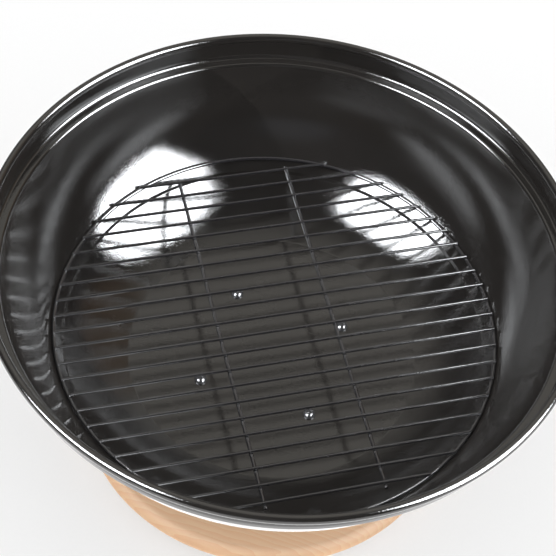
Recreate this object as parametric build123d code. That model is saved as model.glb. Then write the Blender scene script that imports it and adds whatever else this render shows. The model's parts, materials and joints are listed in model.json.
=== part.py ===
"""Round hibachi grill: an enamelled fire bowl with a lift-out charcoal grate, carried on a round wooden base.

Millimetres, +Z up. The origin is on the table, under the middle of the bowl. The four bowl screws stand on a
square whose sides follow X and Y.
"""
from build123d import *
import math
import os

# ---------------------------------------------------------------- fire bowl
RIM_RADIUS = 226.5            # outermost edge of the rolled rim
BEAD_RADIUS = 3.6             # rolled rim, half of its thickness
SHEET = 1.2                   # thickness of the pressed steel
BOWL_FLAT_RADIUS = 112.5      # flat bottom
FLOOR_BEND = 10.0             # bend between the flat bottom and the wall
WALL_ARC_RADIUS = 136.0       # the inside of the wall is one arc
WALL_ARC_DROP = 2.8           # middle of that arc, below the middle of the roll
LEDGE_DROP = 18.3             # shoulder that carries a cooking grid, below the middle of the roll
LEDGE_WIDTH = 8.3
LEDGE_INSET = 7.3             # outer edge of the shoulder, inward of the rim's outermost edge
CORNER = 1.6                  # bends where the wall, the shoulder and the lip meet
ROLL_START_ANGLE = 216.0      # where the lip meets the roll
ROLL_END_ANGLE = -118.0       # where the roll ends, under the rim
ROLL_OVERLAP = 18.0           # the root of the roll, carried on past the lip

# ---------------------------------------------------------------- charcoal grate
RING_WIRE = 3.0
BAR_WIRE = 3.0
ROD_WIRE = 2.5
ROD_COUNT = 22
ROD_ANGLE = 31.6              # direction of the rods
RING_INSET = 52.7             # middle of the ring wire, inward of the rim's outermost edge
OUTER_ROD_INSET = 19.45       # middle of each outermost rod, inward of the middle of the ring wire
BAR_OFFSET = 46.0             # each cross bar from the middle of the grate
BAR_OVERHANG = 4.0            # cross bar beyond the outermost rod
ROD_OVERHANG = 0.8            # rod beyond the middle of the ring wire
WELD_DEPTH = 0.12             # how far welded wires sink into each other
SEAT_GAP = 0.35               # ring to bowl wall
WIRE_END_CHAMFER = 0.3

# ---------------------------------------------------------------- wooden base
BASE_RADIUS = 153.0
BASE_THICKNESS = 18.0
BASE_EDGE_ROUND = 8.5
FOOT_HEIGHT = 10.0
FOOT_TOP_RADIUS = 14.0
FOOT_BOTTOM_RADIUS = 12.0
FOOT_EDGE_ROUND = 1.0
FOOT_SPACING = 170.0          # between the feet, along X and Y
FOOT_RECESS_DEPTH = 5.0
FOOT_RECESS_DIAMETER = 10.0

# ---------------------------------------------------------------- bowl screws, spacers, nuts and washers
SCREW_SPACING = 90.8          # between the screws, along X and Y
SCREW_SIZE = 5.0
SCREW_HEAD_DIAMETER = 9.5
SCREW_HEAD_HEIGHT = 3.7
SCREW_HEAD_SIDE = 1.1         # straight side of the head under its dome
SCREW_DRIVE_WIDTH = 4.6       # across the cross recess
SCREW_DRIVE_SLOT = 0.95       # width of each arm of the cross
SCREW_DRIVE_DEPTH = 1.7
SCREW_CLEARANCE = 0.25        # hole wider than the screw, per side
SPACER_DIAMETER = 16.0
SPACER_LENGTH = 55.0
HEAT_WASHER_DIAMETER = 20.0
HEAT_WASHER_THICKNESS = 1.0
NUT_FLATS = 8.0
NUT_THICKNESS = 4.0
NUT_WASHER_DIAMETER = 14.0
NUT_WASHER_THICKNESS = 1.0
NUT_POCKET_DIAMETER = 16.0
NUT_POCKET_DEPTH = 8.0
SCREW_PAST_NUT = 1.5
SCREW_POINT_CHAMFER = 0.6
THREAD_CLEARANCE = 0.05       # nut bore wider than the screw, per side
DRIVE_ANGLE = 30.0            # how far the cross recesses are turned

# ---------------------------------------------------------------- foot screws
FOOT_SCREW_SIZE = 4.0
FOOT_SCREW_HEAD_DIAMETER = 8.0
FOOT_SCREW_HEAD_HEIGHT = 2.6
FOOT_SCREW_HEAD_SIDE = 0.7
FOOT_SCREW_DRIVE_WIDTH = 3.8
FOOT_SCREW_DRIVE_SLOT = 0.8
FOOT_SCREW_DRIVE_DEPTH = 1.2
FOOT_SCREW_LENGTH = 16.0
FOOT_SCREW_TIP = 2.5
FOOT_SCREW_POINT_RADIUS = 0.4
PILOT_CLEARANCE = 0.1
PILOT_PAST_TIP = 1.0

# ---------------------------------------------------------------- heights that follow
BASE_BOTTOM = FOOT_HEIGHT
BASE_TOP = BASE_BOTTOM + BASE_THICKNESS
SPACER_TOP = BASE_TOP + SPACER_LENGTH
BOWL_BOTTOM = SPACER_TOP + HEAT_WASHER_THICKNESS
BOWL_FLOOR = BOWL_BOTTOM + SHEET
LEDGE_OUTER_RADIUS = RIM_RADIUS - LEDGE_INSET
WALL_TOP_RADIUS = LEDGE_OUTER_RADIUS - LEDGE_WIDTH
WALL_TOP_DROP = LEDGE_DROP - WALL_ARC_DROP
WALL_ARC_CENTRE = WALL_TOP_RADIUS - math.sqrt(WALL_ARC_RADIUS**2 - WALL_TOP_DROP**2)
WALL_FOOT_DROP = math.sqrt(WALL_ARC_RADIUS**2 - (BOWL_FLAT_RADIUS - WALL_ARC_CENTRE) ** 2)
WALL_ARC_PLANE = BOWL_FLOOR + WALL_FOOT_DROP
BEAD_CENTRE_RADIUS = RIM_RADIUS - BEAD_RADIUS
BEAD_PLANE = WALL_ARC_PLANE + WALL_ARC_DROP

RING_RADIUS = RIM_RADIUS - RING_INSET
OUTER_ROD_OFFSET = RING_RADIUS - OUTER_ROD_INSET
ROD_PITCH = 2 * OUTER_ROD_OFFSET / (ROD_COUNT - 1)
RING_REACH = WALL_ARC_RADIUS - SEAT_GAP - RING_WIRE / 2
RING_DROP = math.sqrt(RING_REACH**2 - (RING_RADIUS - WALL_ARC_CENTRE) ** 2)
RING_PLANE = WALL_ARC_PLANE - RING_DROP
ROD_PLANE = RING_PLANE + RING_WIRE / 2 + ROD_WIRE / 2 - WELD_DEPTH
BAR_PLANE = ROD_PLANE - ROD_WIRE / 2 - BAR_WIRE / 2 + WELD_DEPTH

SCREW_HOLE = SCREW_SIZE / 2 + SCREW_CLEARANCE
NUT_POCKET_TOP = BASE_BOTTOM + NUT_POCKET_DEPTH
NUT_TOP = NUT_POCKET_TOP - NUT_WASHER_THICKNESS
SCREW_END = NUT_TOP - NUT_THICKNESS - SCREW_PAST_NUT

SCREW_SPOTS = [(x * SCREW_SPACING / 2, y * SCREW_SPACING / 2) for x in (-1, 1) for y in (-1, 1)]
FOOT_SPOTS = [(x * FOOT_SPACING / 2, y * FOOT_SPACING / 2) for x in (-1, 1) for y in (-1, 1)]


def disc(radius, thickness, bottom, centre=(0.0, 0.0)):
    """A round plate standing on the height `bottom`."""
    return Solid.make_cylinder(radius, thickness, Plane(origin=(centre[0], centre[1], bottom)))


def bowl_section():
    """Half of the pressed sheet, cut through the axis, from the middle of the floor to the top of the lip."""
    wall_foot = (BOWL_FLAT_RADIUS, BOWL_FLOOR)
    wall_top = (WALL_TOP_RADIUS, BEAD_PLANE - LEDGE_DROP)
    shoulder = (LEDGE_OUTER_RADIUS, BEAD_PLANE - LEDGE_DROP)
    foot_angle = math.atan2(-WALL_FOOT_DROP, BOWL_FLAT_RADIUS - WALL_ARC_CENTRE)
    top_angle = math.atan2(-WALL_TOP_DROP, WALL_TOP_RADIUS - WALL_ARC_CENTRE)
    middle_angle = (foot_angle + top_angle) / 2
    wall_middle = (
        WALL_ARC_CENTRE + WALL_ARC_RADIUS * math.cos(middle_angle),
        WALL_ARC_PLANE + WALL_ARC_RADIUS * math.sin(middle_angle),
    )
    roll_start = math.radians(ROLL_START_ANGLE)
    roll_middle = BEAD_RADIUS - SHEET / 2
    lip_top = (
        BEAD_CENTRE_RADIUS + roll_middle * math.cos(roll_start),
        BEAD_PLANE + roll_middle * math.sin(roll_start),
    )
    with BuildSketch() as hollow:
        with BuildLine():
            Polyline((0, lip_top[1]), (0, BOWL_FLOOR), wall_foot)
            ThreePointArc(wall_foot, wall_middle, wall_top)
            Polyline(wall_top, shoulder, lip_top, (0, lip_top[1]))
        make_face()
        wall_side = (wall_foot[0] + wall_top[0]) / 2
        lip_middle = (shoulder[1] + lip_top[1]) / 2
        bends = [corner for corner in hollow.vertices() if corner.X > wall_side and corner.Y < lip_middle]
        fillet(bends, CORNER)
        foot = [corner for corner in hollow.vertices() if 0 < corner.X < wall_side and corner.Y < lip_middle]
        fillet(foot, FLOOR_BEND)
    with BuildSketch() as section:
        add(offset(hollow.sketch, SHEET, kind=Kind.ARC))
        add(hollow.sketch, mode=Mode.SUBTRACT)
        with Locations((0, lip_top[1])):
            Rectangle(2 * RIM_RADIUS, 2 * SHEET, align=(Align.CENTER, Align.MIN), mode=Mode.SUBTRACT)
        with Locations((0, BOWL_FLOOR)):
            Rectangle(2 * SHEET, 2 * RIM_RADIUS, align=(Align.MAX, Align.CENTER), mode=Mode.SUBTRACT)
    return section.sketch


def roll_section():
    """The sheet rolled over outward into a tube, open underneath."""
    with BuildSketch() as roll:
        with Locations((BEAD_CENTRE_RADIUS, BEAD_PLANE)):
            Circle(BEAD_RADIUS)
            Circle(BEAD_RADIUS - SHEET, mode=Mode.SUBTRACT)
        with BuildLine():
            centre = (BEAD_CENTRE_RADIUS, BEAD_PLANE)
            reach = 2 * BEAD_RADIUS
            opening = [
                (centre[0] + reach * math.cos(math.radians(a)), centre[1] + reach * math.sin(math.radians(a)))
                for a in (ROLL_START_ANGLE + ROLL_OVERLAP, ROLL_END_ANGLE + 360)
            ]
            Polyline(centre, opening[0], opening[1], close=True)
        make_face(mode=Mode.SUBTRACT)
    return roll.sketch


def bowl():
    """The pressed and enamelled bowl: floor, curved wall, shoulder, upright lip and rolled rim, with four holes."""
    shell = revolve(Plane.XZ * (bowl_section() + roll_section()), Axis.Z)
    for spot in SCREW_SPOTS:
        shell -= disc(SCREW_HOLE, 3 * SHEET, BOWL_BOTTOM - SHEET, spot)
    return shell


def grate_ring():
    """The wire hoop that rests on the bowl wall."""
    return Pos(0, 0, RING_PLANE) * Torus(RING_RADIUS, RING_WIRE / 2)


def straight_wire(half_length, offset_from_middle, height, diameter, angle):
    """A straight wire of the grate, lying at an angle in plan, with softly broken ends."""
    wire = Cylinder(diameter / 2, 2 * half_length, rotation=(0, 90, 0))
    wire = chamfer(wire.edges().filter_by(GeomType.CIRCLE), WIRE_END_CHAMFER)
    return Pos(0, 0, height) * Rot(0, 0, angle) * Pos(0, offset_from_middle, 0) * wire


def grate_rods():
    """The parallel rods, each ending just past the hoop."""
    rods = []
    for number in range(ROD_COUNT):
        across = number * ROD_PITCH - OUTER_ROD_OFFSET
        half_length = math.sqrt(RING_RADIUS**2 - across**2) + ROD_OVERHANG
        rods.append(straight_wire(half_length, across, ROD_PLANE, ROD_WIRE, ROD_ANGLE))
    return rods


def grate_bars():
    """The two wires that run under the rods, square to them."""
    half_length = OUTER_ROD_OFFSET + BAR_OVERHANG
    return [
        straight_wire(half_length, side * BAR_OFFSET, BAR_PLANE, BAR_WIRE, ROD_ANGLE + 90)
        for side in (-1, 1)
    ]


def washer(diameter, thickness, bottom, spot):
    """A flat washer round one bowl screw."""
    return disc(diameter / 2, thickness, bottom, spot) - disc(SCREW_HOLE, thickness, bottom, spot)


def domed_head(diameter, height, side, drive_width, drive_slot, drive_depth):
    """A screw head standing on the origin: a short straight side, a ball-shaped dome and a cross recess."""
    radius = diameter / 2
    dome_height = height - side
    ball_radius = (radius**2 + dome_height**2) / (2 * dome_height)
    half_angle = math.asin(radius / ball_radius) / 2
    dome_middle = (ball_radius * math.sin(half_angle), height - ball_radius + ball_radius * math.cos(half_angle))
    with BuildSketch(Plane.XZ) as profile:
        with BuildLine():
            Polyline((0, height), (0, 0), (radius, 0), (radius, side))
            ThreePointArc((radius, side), dome_middle, (0, height))
        make_face()
    head = revolve(profile.sketch, Axis.Z)
    recess = Pos(0, 0, height) * Box(drive_width, drive_slot, 2 * drive_depth)
    return head - recess - Rot(0, 0, 90) * recess


def bowl_screw(spot):
    """A domed machine screw, head inside the bowl and point past its nut."""
    length = BOWL_FLOOR - SCREW_END
    shank = Cylinder(SCREW_SIZE / 2, length, align=(Align.CENTER, Align.CENTER, Align.MAX))
    shank = chamfer(shank.edges().group_by(Axis.Z)[0], SCREW_POINT_CHAMFER)
    head = domed_head(
        SCREW_HEAD_DIAMETER,
        SCREW_HEAD_HEIGHT,
        SCREW_HEAD_SIDE,
        SCREW_DRIVE_WIDTH,
        SCREW_DRIVE_SLOT,
        SCREW_DRIVE_DEPTH,
    )
    return Pos(spot[0], spot[1], BOWL_FLOOR) * Rot(0, 0, DRIVE_ANGLE) * (shank + head)


def nut(spot):
    """A hexagon nut in its pocket under the base."""
    hexagon = RegularPolygon(NUT_FLATS / 2, 6, major_radius=False) - Circle(SCREW_SIZE / 2 + THREAD_CLEARANCE)
    return Pos(spot[0], spot[1], NUT_TOP - NUT_THICKNESS) * extrude(hexagon, NUT_THICKNESS)


def spacer(spot):
    """A steel tube that holds the bowl off the wood."""
    return disc(SPACER_DIAMETER / 2, SPACER_LENGTH, BASE_TOP, spot) - disc(
        SCREW_HOLE, SPACER_LENGTH, BASE_TOP, spot
    )


def base_board():
    """The round wooden base, drilled for the bowl screws and the foot screws."""
    board = Cylinder(BASE_RADIUS, BASE_THICKNESS, align=(Align.CENTER, Align.CENTER, Align.MIN))
    board = fillet(board.edges().filter_by(GeomType.CIRCLE), BASE_EDGE_ROUND)
    board = Pos(0, 0, BASE_BOTTOM) * board
    for spot in SCREW_SPOTS:
        board -= disc(SCREW_HOLE, BASE_THICKNESS, BASE_BOTTOM, spot)
        board -= disc(NUT_POCKET_DIAMETER / 2, NUT_POCKET_DEPTH, BASE_BOTTOM, spot)
    pilot_depth = FOOT_RECESS_DEPTH + FOOT_SCREW_LENGTH + PILOT_PAST_TIP - FOOT_HEIGHT
    for spot in FOOT_SPOTS:
        board -= disc(FOOT_SCREW_SIZE / 2 + PILOT_CLEARANCE, pilot_depth, BASE_BOTTOM, spot)
    return board


def foot(spot):
    """A tapered rubber foot with a recess for its screw."""
    body = Cone(FOOT_BOTTOM_RADIUS, FOOT_TOP_RADIUS, FOOT_HEIGHT, align=(Align.CENTER, Align.CENTER, Align.MIN))
    body = fillet(body.edges().group_by(Axis.Z)[0], FOOT_EDGE_ROUND)
    body -= disc(FOOT_RECESS_DIAMETER / 2, FOOT_RECESS_DEPTH, 0)
    body -= disc(FOOT_SCREW_SIZE / 2 + PILOT_CLEARANCE, FOOT_HEIGHT, 0)
    return Pos(spot[0], spot[1], 0) * body


def foot_screw(spot):
    """A pointed screw, head up in the foot's recess, driven into the base."""
    shank = Cylinder(
        FOOT_SCREW_SIZE / 2,
        FOOT_SCREW_LENGTH - FOOT_SCREW_TIP,
        align=(Align.CENTER, Align.CENTER, Align.MAX),
    )
    tip = Cone(
        FOOT_SCREW_POINT_RADIUS,
        FOOT_SCREW_SIZE / 2,
        FOOT_SCREW_TIP,
        align=(Align.CENTER, Align.CENTER, Align.MAX),
    )
    head = domed_head(
        FOOT_SCREW_HEAD_DIAMETER,
        FOOT_SCREW_HEAD_HEIGHT,
        FOOT_SCREW_HEAD_SIDE,
        FOOT_SCREW_DRIVE_WIDTH,
        FOOT_SCREW_DRIVE_SLOT,
        FOOT_SCREW_DRIVE_DEPTH,
    )
    screw = shank + Pos(0, 0, FOOT_SCREW_TIP - FOOT_SCREW_LENGTH) * tip + head
    return Pos(spot[0], spot[1], FOOT_RECESS_DEPTH) * Rot(180, 0, 0) * screw


def save(name, *solids):
    """Write one node: a single solid, or a group of alike ones."""
    shape = solids[0] if len(solids) == 1 else Compound(children=list(solids))
    export_step(shape, f"parts/{name}.step")


os.makedirs("parts", exist_ok=True)

save("bowl", bowl())
save("bowl_screws", *[bowl_screw(spot) for spot in SCREW_SPOTS])
save(
    "heat_washers",
    *[washer(HEAT_WASHER_DIAMETER, HEAT_WASHER_THICKNESS, SPACER_TOP, spot) for spot in SCREW_SPOTS],
)
for number, spot in enumerate(SCREW_SPOTS, 1):
    save(f"spacer_{number}", spacer(spot))

save("base_board", base_board())
save(
    "nut_washers",
    *[washer(NUT_WASHER_DIAMETER, NUT_WASHER_THICKNESS, NUT_TOP, spot) for spot in SCREW_SPOTS],
)
save("base_nuts", *[nut(spot) for spot in SCREW_SPOTS])
for number, spot in enumerate(FOOT_SPOTS, 1):
    save(f"foot_{number}", foot(spot))
save("foot_screws", *[foot_screw(spot) for spot in FOOT_SPOTS])

save("grate_ring", grate_ring())
for number, bar in enumerate(grate_bars(), 1):
    save(f"grate_bar_{number}", bar)
for number, rod in enumerate(grate_rods(), 1):
    save(f"grate_rod_{number:02d}", rod)
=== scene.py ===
"""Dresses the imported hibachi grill: enamelled fire bowl, wire charcoal grate, fasteners and wooden base.

Lengths in the classes are millimetres; meshes are written in metres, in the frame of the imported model: +Z up,
the origin on the table under the middle of the bowl. A profile is a line in the (radius, height) plane, and a
lathe surface is a profile carried round the Z axis: (r, z) -> (r cos a, r sin a, z).
"""
import json
import logging
import math
from dataclasses import dataclass, field
from enum import Enum
from typing import Callable, Sequence

import bmesh
import bpy
import numpy as np
from mathutils import Matrix, Vector

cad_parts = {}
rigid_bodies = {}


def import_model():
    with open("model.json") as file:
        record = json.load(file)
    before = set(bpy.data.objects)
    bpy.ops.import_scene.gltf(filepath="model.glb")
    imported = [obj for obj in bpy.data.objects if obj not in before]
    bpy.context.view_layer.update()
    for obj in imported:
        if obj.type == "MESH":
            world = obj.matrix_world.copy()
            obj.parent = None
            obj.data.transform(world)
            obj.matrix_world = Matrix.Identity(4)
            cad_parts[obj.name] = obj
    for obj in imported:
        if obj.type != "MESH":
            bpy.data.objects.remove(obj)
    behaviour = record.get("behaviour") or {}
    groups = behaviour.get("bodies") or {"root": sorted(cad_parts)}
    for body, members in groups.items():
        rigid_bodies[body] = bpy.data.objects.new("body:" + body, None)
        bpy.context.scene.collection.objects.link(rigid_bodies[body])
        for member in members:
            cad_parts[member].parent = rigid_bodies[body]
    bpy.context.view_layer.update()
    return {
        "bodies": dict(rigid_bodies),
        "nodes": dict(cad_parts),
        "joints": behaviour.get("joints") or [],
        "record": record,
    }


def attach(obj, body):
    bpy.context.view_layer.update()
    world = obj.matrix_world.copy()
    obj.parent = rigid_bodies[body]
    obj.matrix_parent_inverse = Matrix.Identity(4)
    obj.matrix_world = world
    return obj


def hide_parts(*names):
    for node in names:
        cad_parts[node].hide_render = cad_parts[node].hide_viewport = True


LOG = logging.getLogger("hibachi_grill")
MM = 0.001
FULL_TURN = 2.0 * math.pi
SHARP_EDGE = math.radians(35)
NOISE_BAND = (0.3, 0.7)
RIPPLE_DEPTH = 0.00004

Colour = tuple[float, float, float]
Spot = tuple[float, float]
Socket = bpy.types.NodeSocket
Piece = bpy.types.Object


class Axis(Enum):
    """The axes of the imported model's frame."""

    X = 0
    Y = 1
    Z = 2


class Ends(Enum):
    """How a lathe's profile ends: which of its two ends are closed with a fan, none on a closed loop."""

    LOOP = (False, False)
    LAST_POLE = (False, True)
    POLES = (True, True)


class Body(Enum):
    """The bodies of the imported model."""

    GRILL = "grill"
    GRATE = "charcoal_grate"


# ---- surfaces


def polar(radius: float, degrees: float) -> np.ndarray:
    """Returns the point (radius cos a, radius sin a)."""
    return radius * np.array([math.cos(math.radians(degrees)), math.sin(math.radians(degrees))])


def heading(way: Sequence[float]) -> float:
    """Returns the direction of a vector in the plane, in degrees."""
    return math.degrees(math.atan2(way[1], way[0]))


def turning(degrees: float, axis: Axis = Axis.Z) -> np.ndarray:
    """Returns the matrix that turns by an angle round an axis."""
    first, second = (axis.value + 1) % 3, (axis.value + 2) % 3
    matrix = np.eye(3)
    matrix[first, first], matrix[second, first] = polar(1.0, degrees)
    matrix[first, second], matrix[second, second] = -matrix[second, first], matrix[first, first]
    return matrix


def square(side: float) -> list[Spot]:
    """Returns the corners of a square round the Z axis."""
    return [(x * side / 2, y * side / 2) for x in (-1, 1) for y in (-1, 1)]


@dataclass
class Profile:
    """A line in the (radius, height) plane with its normals, drawn with the open air on its left."""

    points: list[np.ndarray] = field(default_factory=list)
    normals: list[np.ndarray] = field(default_factory=list)

    def run(self, start: Sequence[float], end: Sequence[float], steps: int = 1) -> None:
        """Adds a straight run; its normal is the direction turned a quarter to the left.

        Args:
            start: First point.
            end: Last point.
            steps: Number of equal parts.
        """
        share = np.linspace(0.0, 1.0, steps + 1)[:, None]
        first, last = np.array(start, float), np.array(end, float)
        along = (last - first) / np.linalg.norm(last - first)
        self.points.append(first + share * (last - first))
        self.normals.append(np.tile((-along[1], along[0]), (steps + 1, 1)))

    def arc(self, centre: Sequence[float], radius: float, start: float, end: float, steps: int) -> None:
        """Adds an arc, centre + radius (cos a, sin a); its normal too looks to the left of the way it runs.

        Args:
            centre: Middle of the arc.
            radius: Its radius.
            start: First angle in degrees.
            end: Last angle in degrees.
            steps: Number of equal parts.
        """
        angles = np.radians(np.linspace(start, end, steps + 1))
        outward = np.stack([np.cos(angles), np.sin(angles)], axis=1)
        self.points.append(np.array(centre, float) + radius * outward)
        self.normals.append(outward if end < start else -outward)

    def bend(self, corner: Sequence[float], before: float, after: float, radius: float, steps: int) -> None:
        """Rounds a corner with an arc that touches both runs, its centre on the corner's bisector.

        Args:
            corner: The sharp corner.
            before: Direction of the run into it, in degrees.
            after: Direction of the run out of it, in degrees.
            radius: Radius of the arc.
            steps: Number of its parts.
        """
        turn = (after - before + 180.0) % 360.0 - 180.0
        left = 90.0 if turn > 0 else -90.0
        away = radius / math.cos(math.radians(turn / 2.0))
        centre = np.array(corner, float) + polar(away, before + turn / 2.0 + left)
        self.arc(centre, radius, before - left, before - left + turn, steps)


@dataclass
class Surface:
    """A mesh held as whole arrays: points and normals in millimetres, quads and triangles."""

    points: np.ndarray
    normals: np.ndarray
    quads: np.ndarray
    triangles: np.ndarray = field(default_factory=lambda: np.zeros((0, 3), int))

    def placed(self, frame: np.ndarray, offset: Sequence[float] = (0.0, 0.0, 0.0)) -> "Surface":
        """Returns the surface turned by a 3 by 3 matrix and then moved: p -> frame p + offset."""
        points = self.points @ frame.T + np.array(offset, float)
        return Surface(points, self.normals @ frame.T, self.quads, self.triangles)

    def moved(self, x: float, y: float, z: float) -> "Surface":
        """Returns the surface moved by (x, y, z)."""
        return self.placed(np.eye(3), (x, y, z))

    def turned_over(self) -> "Surface":
        """Returns the surface with its other side out."""
        return Surface(self.points, -self.normals, self.quads[:, ::-1], self.triangles[:, ::-1])

    def repeated(self, spots: Sequence[Spot]) -> "Surface":
        """Returns one surface with a copy at each spot."""
        return Surface.joined([self.moved(*spot, 0.0) for spot in spots])

    @staticmethod
    def joined(parts: Sequence["Surface"]) -> "Surface":
        """Returns one surface that holds all the parts, side by side."""
        starts = np.cumsum([0] + [len(part.points) for part in parts[:-1]])
        return Surface(
            np.concatenate([part.points for part in parts]),
            np.concatenate([part.normals for part in parts]),
            np.concatenate([part.quads + start for part, start in zip(parts, starts)]),
            np.concatenate([part.triangles + start for part, start in zip(parts, starts)]),
        )

    @staticmethod
    def grid(x: np.ndarray, y: np.ndarray, z: np.ndarray, closed: bool = False) -> "Surface":
        """Joins points on a grid whose columns wrap round: (i, j), (i+1, j), (i+1, j+1), (i, j+1).

        Args:
            x: Their first coordinate, row after row.
            y: Their second coordinate.
            z: Their height.
            closed: Whether the last row joins the first.

        Returns:
            The surface, its normals still straight up.
        """
        rows, columns = x.shape
        points = np.stack([x, y, z], axis=-1).reshape(-1, 3)
        i = np.arange(rows if closed else rows - 1)[:, None]
        j = np.arange(columns)[None, :]
        below, beside = (i + 1) % rows, (j + 1) % columns
        corners = (i * columns + j, below * columns + j, below * columns + beside, i * columns + beside)
        quads = np.stack(np.broadcast_arrays(*corners), axis=-1).reshape(-1, 4)
        return Surface(points, np.tile((0.0, 0.0, 1.0), (len(points), 1)), quads)

    def close_pole(self, columns: int, last: bool) -> "Surface":
        """Closes the first or last row of a grid with a fan to the point in its middle.

        Args:
            columns: Number of points in a row.
            last: Whether the last row is closed, rather than the first.

        Returns:
            The surface with one more point and as many triangles as the row has points.
        """
        start = len(self.points) - columns if last else 0
        row = np.arange(start, start + columns)
        pole = np.full(columns, len(self.points))
        fan = np.stack((row, pole, np.roll(row, -1)) if last else (pole, row, np.roll(row, -1)), axis=1)
        normal = self.normals[row].mean(axis=0, keepdims=True)
        return Surface(
            np.concatenate([self.points, self.points[row].mean(axis=0, keepdims=True)]),
            np.concatenate([self.normals, normal / np.linalg.norm(normal)]),
            self.quads,
            np.concatenate([self.triangles, fan]),
        )

    def settle_normals(self) -> None:
        """Works the normals out from the faces: the sum of the cross products of the faces at each point."""
        total = np.zeros_like(self.points)
        for faces in (self.quads, self.triangles):
            a, b, c, d = (self.points[faces[:, k]] for k in (0, 1, 2, -1))
            cross = np.cross(c - a, d - b)
            for k in range(faces.shape[1]):
                np.add.at(total, faces[:, k], cross)
        self.normals = total / np.maximum(np.linalg.norm(total, axis=1, keepdims=True), 1e-12)


def lathe(profile: Profile, columns: int, ends: Ends = Ends.POLES) -> Surface:
    """Carries a profile round the Z axis: (r, z) -> (r cos a, r sin a, z), its normal turned with it.

    Args:
        profile: The line to carry round, with the open air on its left.
        columns: Number of steps round the axis.
        ends: How the profile ends.

    Returns:
        The surface, its faces looking into the air.
    """
    line, across = np.concatenate(profile.points), np.concatenate(profile.normals)
    angles = np.arange(columns) * FULL_TURN / columns
    c, s = np.cos(angles)[None, :], np.sin(angles)[None, :]
    shape = (len(line), columns)
    r, z = line[:, :1], np.broadcast_to(line[:, 1:], shape)
    nr, nz = across[:, :1], np.broadcast_to(across[:, 1:], shape)
    surface = Surface.grid(r * c, r * s, z, ends is Ends.LOOP)
    surface.normals = np.stack([nr * c, nr * s, nz], axis=-1).reshape(-1, 3)
    for last, wanted in enumerate(ends.value):
        if wanted:
            # Where both ends are closed, the first fan's middle shifts the second fan's row by one point.
            surface = surface.close_pole(columns, bool(last))
    return surface


def add_piece(
    name: str, surface: Surface, finish: "Finish", body: Body, *nodes: str, creased: bool = False
) -> Piece:
    """Writes a surface into a new piece at the origin, in metres, which rides on a body.

    Args:
        name: Name of the piece.
        surface: Its mesh.
        finish: Its finish, with the material slot that it belongs to.
        body: The body it moves with.
        nodes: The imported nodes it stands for.
        creased: Whether its sharp edges show, rather than the surface's own normals.

    Returns:
        The new piece.
    """
    mesh = bpy.data.meshes.new(name)
    mesh.from_pydata((surface.points * MM).tolist(), [], surface.quads.tolist() + surface.triangles.tolist())
    mesh.polygons.foreach_set("use_smooth", np.ones(len(mesh.polygons), bool))
    mesh.update()
    if creased:
        work = bmesh.new()
        work.from_mesh(mesh)
        for edge in work.edges:
            edge.smooth = len(edge.link_faces) == 2 and edge.calc_face_angle() < SHARP_EDGE
        work.to_mesh(mesh)
        work.free()
    else:
        mesh.normals_split_custom_set_from_vertices(surface.normals.tolist())
    mesh.materials.append(finish.material())
    piece = bpy.data.objects.new(name, mesh)
    bpy.context.scene.collection.objects.link(piece)
    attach(piece, body.value)
    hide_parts(*nodes)
    return piece


# ---- shader tools


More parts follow.
